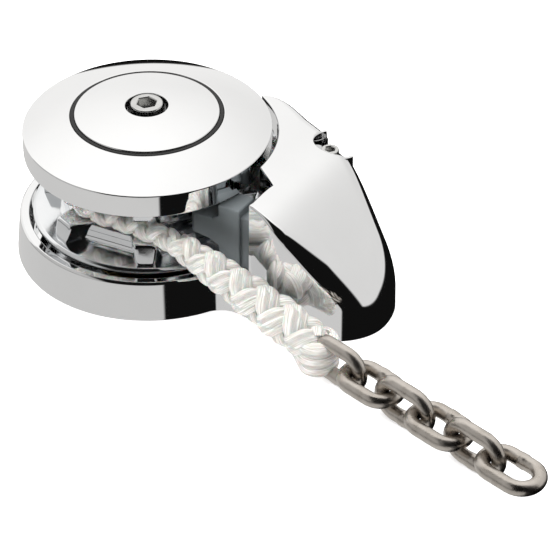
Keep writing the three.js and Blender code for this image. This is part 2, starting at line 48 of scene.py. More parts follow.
# Camera: a long lens, looking down at the nose's near side
view = {"place": (0.66074, -0.94741, 0.83769), "towards": (-0.4171, 0.6833, -0.5992), "lens": 163.6}
cameraData = bpy.data.cameras.new("camera")
cameraData.lens = view["lens"]
cameraData.sensor_width = 36
cameraData.clip_end = 20
camera = bpy.data.objects.new("camera", cameraData)
camera.location = view["place"]
camera.rotation_euler = Vector(view["towards"]).to_track_quat("-Z", "Y").to_euler()
scene.collection.objects.link(camera)
scene.camera = camera


def gridFaces(rows, columns, closeRows=False, closeColumns=False):
    # The four corners of each cell of a grid, as numbers of its points.
    a, b = np.meshgrid(
        np.arange(rows if closeRows else rows - 1),
        np.arange(columns if closeColumns else columns - 1),
        indexing="ij",
    )
    a, b = a.ravel(), b.ravel()
    nextA, nextB = (a + 1) % rows, (b + 1) % columns
    return np.stack([a * columns + b, nextA * columns + b, nextA * columns + nextB, a * columns + nextB], 1)


class Surface:
    # Points in millimetres and faces, gathered part by part.

    def __init__(self):
        self.points, self.faces, self.uvs, self.count = [], [], [], 0

    def grid(self, points, closeRows=False, closeColumns=False, caps=False, uv=None):
        # Rows and columns of points become quads, and caps close the first and the last row.
        rows, columns = points.shape[:2]
        self.points.append(points.reshape(-1, 3))
        self.faces += (gridFaces(rows, columns, closeRows, closeColumns) + self.count).tolist()
        if caps:
            first = np.arange(columns) + self.count
            self.faces.append(first.tolist())
            self.faces.append((first + (rows - 1) * columns)[::-1].tolist())
        if uv is None:
            uv = np.zeros((rows * columns, 2))
        self.uvs.append(uv.reshape(-1, 2))
        self.count += rows * columns
        return self

    def build(self, name, sharp=35):
        # One mesh of all parts: doubles merged, faces turned outwards, smooth up to the sharp angle.
        mesh = bpy.data.meshes.new(name)
        points = np.concatenate(self.points) * mm
        mesh.from_pydata(points.tolist(), [], self.faces)
        layer = mesh.uv_layers.new(name="along")
        loops = np.empty(len(mesh.loops), np.int32)
        mesh.loops.foreach_get("vertex_index", loops)
        layer.data.foreach_set("uv", np.concatenate(self.uvs)[loops].astype(np.float32).ravel())
        work = bmesh.new()
        work.from_mesh(mesh)
        bmesh.ops.remove_doubles(work, verts=work.verts, dist=2e-6)
        bmesh.ops.dissolve_degenerate(work, edges=work.edges, dist=1e-7)
        bmesh.ops.recalc_face_normals(work, faces=work.faces)
        work.to_mesh(mesh)
        work.free()
        mesh.polygons.foreach_set("use_smooth", np.ones(len(mesh.polygons), bool))
        mesh.set_sharp_from_angle(angle=math.radians(sharp))
        made = bpy.data.objects.new(name, mesh)
        scene.collection.objects.link(made)
        return made


def finish(made, material, body, slot, *nodes):
    # Finish and body of a piece, and the plain nodes that it stands in for.
    made.data.materials.clear()
    made.data.materials.append(material)
    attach(made, body)
    if nodes:
        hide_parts(*nodes)
    print("made", made.name, len(made.data.polygons))
    return made


def unit(rows):
    # Each row divided by its length.
    return rows / np.linalg.norm(rows, axis=1)[:, None]


def travelled(path):
    # Distance along a path at each of its points.
    return np.concatenate([[0], np.cumsum(np.linalg.norm(np.diff(path, axis=0), axis=1))])


def circle(angle):
    # (cos a, sin a) for each angle.
    return np.stack([np.cos(angle), np.sin(angle)], 1)


def wholeTurn(sides):
    # Angles spaced evenly over a whole turn: 2 pi i / sides.
    return np.linspace(0, 2 * np.pi, sides, endpoint=False)


def atHeight(plan, z):
    # A plan outline with a height added, one for all its points or one for each.
    return np.concatenate([plan, np.broadcast_to(z, (len(plan),))[:, None]], 1)


def prism(surface, ring, low, high):
    # A plan outline drawn up from one height to another.
    return surface.grid(np.stack([atHeight(ring, low), atHeight(ring, high)]), closeColumns=True, caps=True)


def filleted(corners, steps=6, lead=0.35):
    # Closed outline through corners [(x, y, radius)]: each corner becomes an arc, with a point just before
    # and just after it.
    spots = np.array([c[:2] for c in corners], float)
    out = []
    for i, (_, _, radius) in enumerate(corners):
        before, after = spots[i - 1] - spots[i], spots[(i + 1) % len(spots)] - spots[i]
        lengthBefore, lengthAfter = np.linalg.norm(before), np.linalg.norm(after)
        before, after = before / lengthBefore, after / lengthAfter
        half = math.acos(np.clip(before @ after, -1, 1)) / 2
        reach = min(radius / max(math.tan(half), 1e-6), 0.42 * lengthBefore, 0.42 * lengthAfter)
        radius = reach * math.tan(half)
        bisector = (before + after) / max(np.linalg.norm(before + after), 1e-9)
        centre = spots[i] + bisector * radius / max(math.sin(half), 1e-6)
        start, end = spots[i] + before * reach - centre, spots[i] + after * reach - centre
        first = math.atan2(start[1], start[0])
        turn = (math.atan2(end[1], end[0]) - first + math.pi) % (2 * math.pi) - math.pi
        out.append([spots[i] + before * min(reach + lead, 0.46 * lengthBefore)])
        out.append(centre + radius * circle(first + turn * np.arange(steps + 1) / steps))
        out.append([spots[i] + after * min(reach + lead, 0.46 * lengthAfter)])
    return np.concatenate(out)


def lathe(profile, sides=224):
    # x = r cos a, y = r sin a, z = z for a closed profile of (r, z).
    angle = wholeTurn(sides)[:, None]
    r, z = profile[:, 0][None], profile[:, 1][None]
    return np.stack([r * np.cos(angle), r * np.sin(angle), z + 0 * angle], 2)


def bezier(points, t):
    # Bezier curve of two, three or four control points at shares t.
    points = np.array(points, float)
    while len(points) > 1:
        if points.ndim == 2:
            points = points[:, None, :] + 0 * t[None, :, None]
        points = points[:-1] * (1 - t)[None, :, None] + points[1:] * t[None, :, None]
    return points[0]


def ease(x, low, high):
    # 0 below low, 1 above high, and 3t^2 - 2t^3 between them.
    t = np.clip((x - low) / (high - low), 0, 1)
    return t * t * (3 - 2 * t)


def tubeFrames(path):
    # Side and upward vectors along a path: the last up less its share along the tangent, and across both.
    tangent = unit(np.gradient(path, axis=0))
    up = np.zeros_like(path)
    first = np.array([0.0, 0.0, 1.0]) if abs(tangent[0][2]) < 0.9 else np.array([0.0, 1.0, 0.0])
    for i, t in enumerate(tangent):
        first = first - t * (first @ t)
        first /= np.linalg.norm(first)
        up[i] = first
    return np.cross(tangent, up), up


def spokes(side, up, angle):
    # side cos a + up sin a, for each point of a path and each angle.
    return side[:, None] * np.cos(angle)[None, :, None] + up[:, None] * np.sin(angle)[None, :, None]


def strandCoordinates(far, angle):
    # For the filaments: a quarter of the distance along a strand, and the share of a turn round it.
    shape = (len(far), len(angle))
    return np.stack([np.broadcast_to(far[:, None] / 4, shape),
                     np.broadcast_to(angle[None] / (2 * np.pi), shape)], 2)


def resample(path, step):
    # Points spaced evenly along a path, about one step apart.
    length = travelled(path)
    at = np.linspace(0, length[-1], max(8, int(length[-1] / step)))
    return np.stack([np.interp(at, length, path[:, k]) for k in range(3)], 1)


def smoothed(path, passes):
    # Each point moved to (before + 2 itself + after) / 4, pass after pass.
    for _ in range(passes):
        path[1:-1] = (path[:-2] + 2 * path[1:-1] + path[2:]) / 4
    return path


def nodeMaterial(name):
    material = bpy.data.materials.new(name)
    material.use_nodes = True
    tree = material.node_tree
    shader = tree.nodes["Principled BSDF"]
    return material, tree, shader


def noiseNode(tree, scale, detail):
    coords = tree.nodes.new("ShaderNodeTexCoord")
    noise = tree.nodes.new("ShaderNodeTexNoise")
    noise.inputs["Scale"].default_value = scale
    noise.inputs["Detail"].default_value = detail
    tree.links.new(coords.outputs["Object"], noise.inputs["Vector"])
    return noise


def spread(tree, output, low, high):
    # Noise between 0.3 and 0.7 spread from low to high.
    node = tree.nodes.new("ShaderNodeMapRange")
    node.inputs["From Min"].default_value = 0.3
    node.inputs["From Max"].default_value = 0.7
    node.inputs["To Min"].default_value = low
    node.inputs["To Max"].default_value = high
    tree.links.new(output, node.inputs["Value"])
    return node.outputs["Result"]


def tinted(tree, output, dark, light):
    # Noise between 0.3 and 0.7 turned from one colour to the other.
    ramp = tree.nodes.new("ShaderNodeValToRGB")
    ramp.color_ramp.elements[0].position = 0.3
    ramp.color_ramp.elements[1].position = 0.7
    ramp.color_ramp.elements[0].color = (*dark, 1)
    ramp.color_ramp.elements[1].color = (*light, 1)
    tree.links.new(output, ramp.inputs["Fac"])
    return ramp.outputs["Color"]


def bumped(tree, shader, output, strength, distance):
    bump = tree.nodes.new("ShaderNodeBump")
    bump.inputs["Strength"].default_value = strength
    bump.inputs["Distance"].default_value = distance
    tree.links.new(output, bump.inputs["Height"])
    tree.links.new(bump.outputs["Normal"], shader.inputs["Normal"])


def metalMaterial(name, dark, light, smooth, rough, scale, bump=0.0, bumpScale=400.0):
    material, tree, shader = nodeMaterial(name)
    shader.inputs["Metallic"].default_value = 1
    noise = noiseNode(tree, scale, 5)
    tree.links.new(tinted(tree, noise.outputs["Fac"], dark, light), shader.inputs["Base Color"])
    tree.links.new(spread(tree, noise.outputs["Fac"], smooth, rough), shader.inputs["Roughness"])
    if bump:
        fine = noiseNode(tree, bumpScale, 6)
        bumped(tree, shader, fine.outputs["Fac"], bump, 0.0003)
    return material


def plainMaterial(name, dark, light, smooth, rough, scale, bump, bumpScale):
    material, tree, shader = nodeMaterial(name)
    noise = noiseNode(tree, scale, 5)
    tree.links.new(tinted(tree, noise.outputs["Fac"], dark, light), shader.inputs["Base Color"])
    tree.links.new(spread(tree, noise.outputs["Fac"], smooth, rough), shader.inputs["Roughness"])
    fine = noiseNode(tree, bumpScale, 3)
    bumped(tree, shader, fine.outputs["Fac"], bump, 0.0002)
    return material


chrome = metalMaterial("chrome", (0.86, 0.865, 0.87), (0.90, 0.905, 0.91), 0.03, 0.055, 18)
wheelChrome = metalMaterial("wheel_chrome", (0.80, 0.82, 0.84), (0.88, 0.89, 0.90),
                            0.07, 0.16, 60, 0.12, 160)
stainless = metalMaterial("stainless", (0.60, 0.60, 0.59), (0.72, 0.72, 0.71), 0.16, 0.30, 90, 0.08, 900)
bronze = metalMaterial("bronze", (0.56, 0.40, 0.20), (0.66, 0.49, 0.27), 0.25, 0.40, 120, 0.1, 700)
chainSteel = metalMaterial("chain_steel", (0.47, 0.43, 0.385), (0.70, 0.655, 0.605),
                           0.22, 0.40, 130, 0.35, 700)
greyPlastic = plainMaterial("grey_plastic", (0.150, 0.170, 0.178), (0.175, 0.195, 0.204),
                            0.38, 0.50, 40, 0.25, 2600)
blackRubber = plainMaterial("black_rubber", (0.012, 0.012, 0.012), (0.022, 0.022, 0.022),
                            0.6, 0.8, 60, 0.4, 1800)


def ropeMaterial():
    # White nylon: fine filaments along each strand, drawn in the strand's own (along, round) coordinates.
    material, tree, shader = nodeMaterial("rope_nylon")
    coords = tree.nodes.new("ShaderNodeTexCoord")
    mapping = tree.nodes.new("ShaderNodeMapping")
    mapping.inputs["Scale"].default_value = (0.45, 30, 1)
    mapping.inputs["Rotation"].default_value = (0, 0, 0.02)
    tree.links.new(coords.outputs["UV"], mapping.inputs["Vector"])
    fibres = tree.nodes.new("ShaderNodeTexNoise")
    fibres.inputs["Scale"].default_value = 1.6
    fibres.inputs["Detail"].default_value = 5
    tree.links.new(mapping.outputs["Vector"], fibres.inputs["Vector"])
    colour = tinted(tree, fibres.outputs["Fac"], (0.42, 0.395, 0.35), (0.95, 0.94, 0.91))
    tree.links.new(colour, shader.inputs["Base Color"])
    tree.links.new(spread(tree, fibres.outputs["Fac"], 0.50, 0.32), shader.inputs["Roughness"])
    shader.inputs["Sheen Weight"].default_value = 0.25
    shader.inputs["Sheen Roughness"].default_value = 0.4
    shader.inputs["Subsurface Weight"].default_value = 0.25
    shader.inputs["Subsurface Scale"].default_value = 0.0012
    bumped(tree, shader, fibres.outputs["Fac"], 0.9, 0.0008)
    return material


nylon = ropeMaterial()


# The rope leaves the chain pipe upwards, goes round the wheel's far side and comes out along its near side.
rope = {
    "radius": 6.3, "level": 45.9, "wrap": 46.0, "pipe": (100.0, 9.0), "bend": 25.0, "leavesWheel": 280,
    "near": [(19, -45.2, 45.9), (31, -46, 46.0), (41, -46.7, 45.9)], "spliceStart": (50, -47.3, 45.2),
    "spliceEnd": (147, -54.2, 15.6), "lay": 28.0,
}


def ropeRoute():
    # Up the pipe, a quarter circle, straight to the wheel, round its far side, then the near side's points.
    pipe, level, bend, wrap = np.array(rope["pipe"]), rope["level"], rope["bend"], rope["wrap"]
    meets = math.atan2(pipe[1], pipe[0]) + math.acos(wrap / math.hypot(*pipe))
    start = wrap * np.array([math.cos(meets), math.sin(meets)])
    back = (start - pipe) / np.linalg.norm(start - pipe)
    turn = np.linspace(0, np.pi / 2, 24)[1:]
    bent = pipe + back * (bend * (1 - np.cos(turn)))[:, None]
    straight = bent[-1] + (start - bent[-1]) * np.linspace(0, 1, 24)[1:-1, None]
    points = np.concatenate([
        atHeight(np.broadcast_to(pipe, (14, 2)), np.linspace(1, level - bend, 14)),
        atHeight(bent, level - bend + bend * np.sin(turn)),
        atHeight(straight, level),
        atHeight(wrap * circle(np.linspace(meets, math.radians(rope["leavesWheel"]), 90)), level),
        np.array(rope["near"] + [rope["spliceStart"]], float),
    ])
    return resample(smoothed(resample(points, 1.0), 14), 1.0)


# Shares of the rope's radius: how far out a strand lies, how thick and how wide it is, each with what it
# gains where it crosses over, and the heart between the strands. pairAngle is between a pair's two strands.
plaitShares = {
    "out": (0.55, 0.15), "thick": (0.32, 0.05), "wide": (0.44, 0.07), "pairAngle": 0.70, "heart": 0.56,
}


def plait(surface, path, radius, turns, sides=10):
    # Eight strands, two pairs each way: a strand is at angle p + d*w round the path, in and out by cos(2w).
    side, up = tubeFrames(path)
    far, angle = travelled(path), wholeTurn(sides)
    for direction in (1, -1):
        over = np.cos(2 * turns) * direction
        out, thick, wide = (radius * (mean + gain * over)
                            for mean, gain in (plaitShares[k] for k in ("out", "thick", "wide")))
        for pair in range(2):
            for member in (-0.5, 0.5):
                at = direction * turns + pair * np.pi + member * plaitShares["pairAngle"]
                outward = side * np.cos(at)[:, None] + up * np.sin(at)[:, None]
                centre = path + outward * out[:, None]
                strandTangent = unit(np.gradient(centre, axis=0))
                outward = unit(outward - strandTangent * np.sum(outward * strandTangent, 1)[:, None])
                across = np.cross(strandTangent, outward)
                # strand section: an ellipse, wide along the surface
                points = centre[:, None] + spokes(outward * thick[:, None], across * wide[:, None], angle)
                surface.grid(points, closeColumns=True, caps=True, uv=strandCoordinates(far, angle))
    # heart of the rope, which closes the gaps between the strands
    angle = wholeTurn(12)
    heart = path[:, None] + spokes(side, up, angle) * (radius * plaitShares["heart"])[:, None, None]
    surface.grid(heart, closeColumns=True, caps=True, uv=strandCoordinates(far, angle))


route = ropeRoute()
ropeTurns = travelled(route) * 2 * np.pi / rope["lay"]
ropeSurface = Surface()
plait(ropeSurface, route[2:], np.full(len(route) - 2, rope["radius"]), ropeTurns[2:])
ropePiece = finish(ropeSurface.build("rope_strands", 60), nylon, "base", "white_nylon_rope", "rope")

# Splice: the same plait swells, goes round the first link's end and is worked back into itself.
splice = {
    "step": 0.8, "plaited": 0.94, "rise": 1.0, "lump": 0.045, "lumps": 4.2, "pitchPower": 0.45,
    "shares": [0, 0.08, 0.2, 0.4, 0.65, 0.88, 0.97, 1.0],
    "radii": [6.6, 7.8, 8.9, 10.2, 11.3, 11.7, 11.0, 9.6],
    # strands round the link's bar: height, reach past the bar, radius
    "barStrands": ((6.0, 4.8, 4.3), (-0.6, 5.6, 4.6), (-6.8, 4.8, 4.2)), "legs": 15, "strandStep": 0.9,
}
spliceFrom, spliceTo = np.array(rope["spliceStart"], float), np.array(rope["spliceEnd"], float)
spliceLength = float(np.linalg.norm(spliceTo - spliceFrom))
share = np.linspace(0, 1, int(spliceLength / splice["step"]))
splicePath = spliceFrom + (spliceTo - spliceFrom) * (share * splice["plaited"])[:, None]
splicePath[:, 2] += splice["rise"] * np.sin(np.pi * share)
swell = np.interp(share, splice["shares"], splice["radii"])
lump = 1 + splice["lump"] * np.sin(share * 2 * np.pi * splice["lumps"] + 0.6)
pitchAt = rope["lay"] * (swell / rope["radius"]) ** splice["pitchPower"]
turned = np.cumsum(2 * np.pi * splice["step"] * splice["plaited"] / pitchAt[1:])
spliceSurface = Surface()
plait(spliceSurface, splicePath, swell * lump, ropeTurns[-1] + np.concatenate([[0], turned]), sides=12)

# Chain: stadium-shaped links, every other one upright
chain = {
    "wire": 3.95, "halfLength": 16.0, "halfWidth": 9.5, "step": 23.9, "count": 6,
    "heading": math.radians(-13.6), "first": (155.8, -56.8, 14.1), "height": 13.7,
    "weld": (2.0, 0.11), "seam": (0.45, 0.06),  # half length, and share of the wire
}


def linkPoints(index, around=112, sides=24):
    # Centreline: (R cos a +- s, R sin a), the wire a circle about it, swollen where the bar was welded.
    bend, straight = chain["halfWidth"], chain["halfLength"] - chain["halfWidth"]
    a = np.linspace(0, 2 * np.pi, 721)
    flat = np.stack([bend * np.cos(a) + straight * np.sign(np.cos(a)), bend * np.sin(a), 0 * a], 1)
    line = resample(flat, np.linalg.norm(np.diff(flat, axis=0), axis=1).sum() / (around + 1))[:-1]
    tangent = unit(np.roll(line, -1, 0) - np.roll(line, 1, 0))
    normal = np.stack([tangent[:, 1], -tangent[:, 0], 0 * tangent[:, 0]], 1)
    weld, seam = (share * np.exp(-((line[:, 0] / length) ** 2)) * (line[:, 1] > 0)
                  for length, share in (chain["weld"], chain["seam"]))
    thick = (chain["wire"] * (1 + weld - seam))[:, None]
    points = line[:, None] + spokes(normal * thick, np.array([[0, 0, 1.0]]) * thick, wholeTurn(sides))
    if index % 2 == 0:
        points = points[..., [0, 2, 1]] * np.array([1, 1, -1])
    c, s = math.cos(chain["heading"]), math.sin(chain["heading"])
    x, y = points[..., 0], points[..., 1]
    out = np.stack([x * c - y * s, x * s + y * c, points[..., 2]], -1)
    away = index * chain["step"]
    firstX, firstY, firstZ = chain["first"]
    return out + np.array([firstX + away * c, firstY + away * s, firstZ if index == 0 else chain["height"]])


# Strands that pass through the first link and turn back into the splice, one above the other
alongChain = np.array([math.cos(chain["heading"]), math.sin(chain["heading"]), 0])
barCentre = np.array(chain["first"]) - alongChain * chain["halfLength"]
spliceDirection = (spliceTo - spliceFrom) / spliceLength
sideways = np.array([-alongChain[1], alongChain[0], 0])
turn = np.linspace(-np.pi / 2, np.pi / 2, 26)
legs = np.linspace(1, 0, 14)[:-1]
for height, reach, thick in splice["barStrands"]:
    half = chain["wire"] + thick * 0.93
    middle = barCentre + np.array([0, 0, height]) + alongChain * (abs(height) * 0.16)
    arc = (middle + alongChain * (np.cos(turn) * (chain["wire"] + reach - 1.2))[:, None]
           + sideways * (np.sin(turn) * half)[:, None])
    back = -spliceDirection * splice["legs"] - np.array([0, 0, height * 0.8])
    legA = arc[0] + (back + sideways * (half * 0.75)) * legs[:, None]
    legB = arc[-1] + (back - sideways * (half * 0.75)) * legs[::-1][:, None]
    strand = smoothed(resample(np.concatenate([legA, arc, legB]), splice["strandStep"]), 4)
    side, up = tubeFrames(strand)
    angle = wholeTurn(14)
    uv = strandCoordinates(np.arange(len(strand)) * splice["strandStep"], angle)
    spliceSurface.grid(strand[:, None] + spokes(side, up, angle) * thick, closeColumns=True, caps=True, uv=uv)
splicePiece = finish(spliceSurface.build("splice_strands", 60), nylon, "base", "white_nylon_rope",
                     "rope_splice")

for index in range(chain["count"]):
    made = Surface().grid(linkPoints(index), closeRows=True, closeColumns=True).build(f"link_{index + 1}", 60)
    finish(made, chainSteel, "base", "chain_steel", f"chain_link_{index + 1}")


base = {
    "radius": 75.8, "shoulder": (73.5, 22.8), "rim": 72.3, "height": 23.8, "well": 68.0, "wellFloor": 8.0,
    "hub": 27.0, "hubTop": 22.0, "bore": 21.3, "hole": 15.0, "floor": 6.0, "bed": 1.8, "bedInset": 3.0,
}
footEdge, bore, hub, well = base["radius"] - base["bedInset"], base["bore"], base["hub"], base["well"]
baseProfile = filleted([
    (base["hole"], base["bed"], 0.2), (footEdge, base["bed"], 0.2), (footEdge, 0, 0.3),
    (base["radius"], 0, 0.5), (*base["shoulder"], 1.3), (base["rim"], base["height"], 0.9),
    (well, base["height"], 0.7), (well, base["wellFloor"], 2.0), (hub, base["wellFloor"], 2.0),
    (hub, base["hubTop"], 0.8), (bore, base["hubTop"], 0.4), (bore, base["floor"], 0.4),
    (base["hole"], base["floor"], 0.4),
])
housing = Surface().grid(lathe(baseProfile, 288), closeRows=True, closeColumns=True)

nose = {
    "reach": 152.8, "top": 75.4, "bend": 106.2, "slope": 1.2, "blend": 6.0, "far": 82.4, "near": 78.8,
    "sideAngle": math.radians(66.5), "draft": 1.1, "wall": 4.0, "lip": 61.0, "crescent": 72.3, "mouth": 86.2,
    # top edges' radius: least, gain, and the two x between which it grows
    "roundNear": (1.4, 12.6, 93, 132), "roundFar": (8.0, 6.0, 80, 148),
}


def sidePoint(offset, along, side):
    # Plan point on a flank: so far out from the middle, and so far along the flank.
    c, s = math.cos(nose["sideAngle"]), math.sin(nose["sideAngle"])
    return (c * offset + s * along, side * (s * offset - c * along))


def alongAt(offset, x):
    # How far along a flank it reaches a given x.
    return (x - math.cos(nose["sideAngle"]) * offset) / math.sin(nose["sideAngle"])


def roofHeight(x, y):
    # Level, then down in one soft bend: top - slope*blend*ln(1 + e^((x - bend)/blend)), with a slight crown.
    fall = nose["slope"] * nose["blend"] * np.logaddexp(0, (x - nose["bend"]) / nose["blend"])
    return nose["top"] - fall - 1.5 * ((y - 6) / 70) ** 2


far, near = nose["far"], nose["near"]
farEnd, nearEnd = alongAt(far, 136), alongAt(near, 131)
flareStart = alongAt(near, 111.5)
flare = [sidePoint(near, flareStart, -1), sidePoint(near, flareStart - 10, -1), (95, -31.4), (76, -31.4)]


def crescent(first, last, steps):
    # The arc that faces the cap, between two angles in degrees.
    return nose["crescent"] * circle(np.radians(np.linspace(first, last, steps)))


# The plan as (outer edge, inner edge) stretches, from the far horn round the nose's end to the near flank
hornTip = crescent(61, 61, 1)[0]
crescentEnd = (86.9, -9.6)
reach, mouth = nose["reach"], nose["mouth"]
parts = [
    (bezier([hornTip + (0.5, 0.7), sidePoint(far, 9, 1), sidePoint(far, 25, 1)], np.linspace(0, 1, 30)),
     crescent(61, 48, 30)),
    (bezier([sidePoint(far, 25, 1), sidePoint(far, farEnd, 1)], np.linspace(0, 1, 48)), crescent(48, 20, 48)),
    (bezier([sidePoint(far, farEnd, 1), sidePoint(far, farEnd + 13, 1), (reach, 12), (reach, 0)],
            np.linspace(0, 1, 56)), crescent(20, 0.8, 56)),
    (bezier([(reach, 0), (reach, -13), sidePoint(near, nearEnd + 14, -1), sidePoint(near, nearEnd, -1)],
            np.linspace(0, 1, 56)), bezier([crescent(0.8, 0.8, 1)[0], crescentEnd], np.linspace(0, 1, 56))),
    (bezier([sidePoint(near, nearEnd, -1), sidePoint(near, flareStart, -1)], np.linspace(0, 1, 30)),
     bezier([crescentEnd, (87.0, -10.8), (mouth, -12), (mouth, -20)], np.linspace(0, 1, 30))),
    (bezier(flare, np.linspace(0, 0.8, 40)), bezier([(mouth, -20), (mouth, -31.2)], np.linspace(0, 1, 40))),
]
outer = np.concatenate([p[0][(0 if i == 0 else 1):] for i, p in enumerate(parts)])
inner = np.concatenate([p[1][(0 if i == 0 else 1):] for i, p in enumerate(parts)])
tangent = unit(np.gradient(outer, axis=0))
inward = np.stack([tangent[:, 1], -tangent[:, 0]], 1)
width = np.linalg.norm(inner - outer, axis=1)
count = len(outer)
lastFar = sum(len(p[0]) for p in parts[:3]) - 2
onFar = np.arange(count) <= lastFar
roundNear, roundFar = (least + gain * ease(outer[:, 0], low, high)
                       for least, gain, low, high in (nose["roundNear"], nose["roundFar"]))
fillet = np.minimum(np.where(onFar, roundFar, roundNear), 0.42 * width)
wallHere = np.minimum(nose["wall"], 0.30 * width)
solidWall = (inner[:, 0] < mouth + 0.1) & (inner[:, 1] < -11.8)
lipBottom = np.where(solidWall, base["height"] - 0.4, nose["lip"])
towards = (inner - outer) / width[:, None]


def noseHeight(plan, deep):
    # Roof height less the fillet's fall: r - sqrt(r^2 - (r - d)^2) at a distance d inside the edge.
    left = np.clip(fillet - deep, 0, None)
    return roofHeight(plan[:, 0], plan[:, 1]) - (fillet - np.sqrt(np.clip(fillet ** 2 - left ** 2, 0, None)))


columns = []


def column(plan, z):
    columns.append(atHeight(plan, z))


# Section of the shell: up the flank, over the fillet and the roof, down the lip, and back under the roof
flankTop = noseHeight(outer, np.zeros(count))
for t in np.linspace(0, 1, 16):
    z = t * flankTop
    column(outer - inward * (nose["draft"] * (flankTop - z) / 75)[:, None], z)
for theta in np.linspace(0, np.pi / 2, 22)[1:]:
    deep = fillet * (1 - math.cos(theta))
    spot = outer + inward * deep[:, None]
    column(spot, roofHeight(spot[:, 0], spot[:, 1]) - fillet * (1 - math.sin(theta)))
roofStart = outer + inward * fillet[:, None]
edge = np.minimum(0.9, 0.1 * width)
roofEnd = inner - towards * edge[:, None]
for t in (1 - np.cos(np.linspace(0, np.pi, 44)[1:])) / 2:
    spot = roofStart + (roofEnd - roofStart) * t
    column(spot, roofHeight(spot[:, 0], spot[:, 1]))
innerTop = roofHeight(inner[:, 0], inner[:, 1])
for theta in np.linspace(0, np.pi / 2, 5)[1:]:
    column(roofEnd + towards * (edge * math.sin(theta))[:, None], innerTop - edge * (1 - math.cos(theta)))
for t in np.linspace(0, 1, 8)[1:]:
    column(inner, innerTop - edge + (lipBottom - innerTop + edge) * t)
behind = inner - towards * wallHere[:, None]
column(behind, lipBottom)
roofUnder = roofHeight(behind[:, 0], behind[:, 1]) - nose["wall"]
column(behind, np.maximum(roofUnder, lipBottom + 0.2))
wallIn = outer + inward * wallHere[:, None]
wallTop = np.maximum(noseHeight(wallIn, wallHere) - nose["wall"], base["floor"] + 1)
for t in np.linspace(0, 1, 9)[1:-1]:
    spot = behind + (wallIn - behind) * t
    deep = np.sum((spot - outer) * inward, axis=1)
    column(spot, np.maximum(noseHeight(spot, np.maximum(deep, wallHere)) - nose["wall"], base["floor"] + 1))
column(wallIn, wallTop)
column(wallIn, base["floor"])
column(inner, base["floor"])
column(inner, base["bed"])
bedEdge = outer + inward * np.minimum(base["bedInset"], 0.3 * width)[:, None]
column(bedEdge, base["bed"])
column(bedEdge, 0)
shell = Surface().grid(np.stack(columns, 1), closeColumns=True, caps=True).build("nose_shell")

# Two holes are cut in the shell: the chain pipe, and the bolt's recess that breaks out through the far side.
recess = {"centre": np.array([93.0, 45.0]), "radius": 11.5, "floor": 64.6, "wall": 2.0, "under": 58.0}
pipe = {"centre": np.array(rope["pipe"]), "radius": 19.0}


def ringAt(hole, extra=0.0, sides=128):
    # Plan circle: centre + (radius + extra) (cos a, sin a).
    return hole["centre"] + (hole["radius"] + extra) * circle(wholeTurn(sides))


for tool in (prism(Surface(), ringAt(recess), recess["floor"], 99).build("recess_cutter"),
             prism(Surface(), ringAt(pipe), -3, base["floor"] + 4).build("pipe_cutter")):
    modifier = shell.modifiers.new("cut", "BOOLEAN")
    modifier.operation = "DIFFERENCE"
    modifier.solver = "EXACT"
    modifier.object = tool
    with bpy.context.temp_override(object=shell, active_object=shell):
        bpy.ops.object.modifier_apply(modifier=modifier.name)
    bpy.data.objects.remove(tool)
print("nose shell", len(shell.data.polygons), "faces")

# Recess: a shelf under it and a wall round it, both ending at the far side
farNormal = np.array([math.cos(nose["sideAngle"]), math.sin(nose["sideAngle"])])


def heldIn(ring, limit):
    # A plan outline whose points past the far flank are pushed back to it, and which points those are.
    over = np.clip(ring @ farNormal - limit, 0, None)
    return ring - over[:, None] * farNormal, over > 0


wallOuter, _ = heldIn(ringAt(recess, recess["wall"]), far - 0.4)
wallInner, outside = heldIn(ringAt(recess), far - 0.5)
prism(housing, wallOuter, recess["under"], recess["floor"])
wallHigh = np.where(outside, recess["floor"] - 0.4, roofHeight(wallInner[:, 0], wallInner[:, 1]) - 1.2)
wallLow = recess["under"] + 2
housing.grid(np.stack([
    atHeight(wallInner, wallLow), atHeight(wallOuter, wallLow),
    atHeight(wallOuter, wallHigh), atHeight(wallInner, wallHigh),
], 1), closeRows=True, closeColumns=True)

# Waist: the low pad that joins the ring to the near flank
pad = {"inner": 71.0, "innerAngles": (-10.5, -38.6), "round": 2.6, "lean": 1.6, "inset": 3.0}
waist = np.concatenate([
    bezier(flare, np.linspace(0.35, 1, 40)),
    bezier([(76, -31.4), (67, -31.4), (56.5, -46)], np.linspace(0, 1, 34))[1:],
])
tangent = unit(np.gradient(waist, axis=0))
waistIn = np.stack([tangent[:, 1], -tangent[:, 0]], 1)
waistInner = np.concatenate([
    bezier([(89.0, -12.2), (pad["inner"], -12.2)], np.linspace(0, 1, 40)),
    pad["inner"] * circle(np.radians(np.linspace(*pad["innerAngles"], 34)))[1:],
])
padRound = np.minimum(pad["round"], 0.4 * np.linalg.norm(waistInner - waist, axis=1))
padTop, padFoot = waist + waistIn * padRound[:, None], waist + waistIn * pad["inset"]
columns = []
for t in np.linspace(0, 1, 8):
    z = t * (base["height"] - padRound)
    column(waist - waistIn * (pad["lean"] * (1 - z / base["height"]))[:, None], z)
for theta in np.linspace(0, np.pi / 2, 10)[1:]:
    column(waist + waistIn * (padRound * (1 - math.cos(theta)))[:, None],
           base["height"] - padRound * (1 - math.sin(theta)))
for t in np.linspace(0, 1, 10)[1:]:
    column(padTop + (waistInner - padTop) * t, base["height"] - 0.02)
column(waistInner, base["bed"])
column(padFoot, base["bed"])
column(padFoot, 0)
housing.grid(np.stack(columns, 1), closeColumns=True, caps=True)

# Boss that the pressure arm's bolt stands in
boss = {"centre": np.array([92.5, 41.5]), "radius": 7.0, "low": 4.0, "high": 40.6}
bossRing, _ = heldIn(ringAt(boss), far - 1)
prism(housing, bossRing, boss["low"], boss["high"])

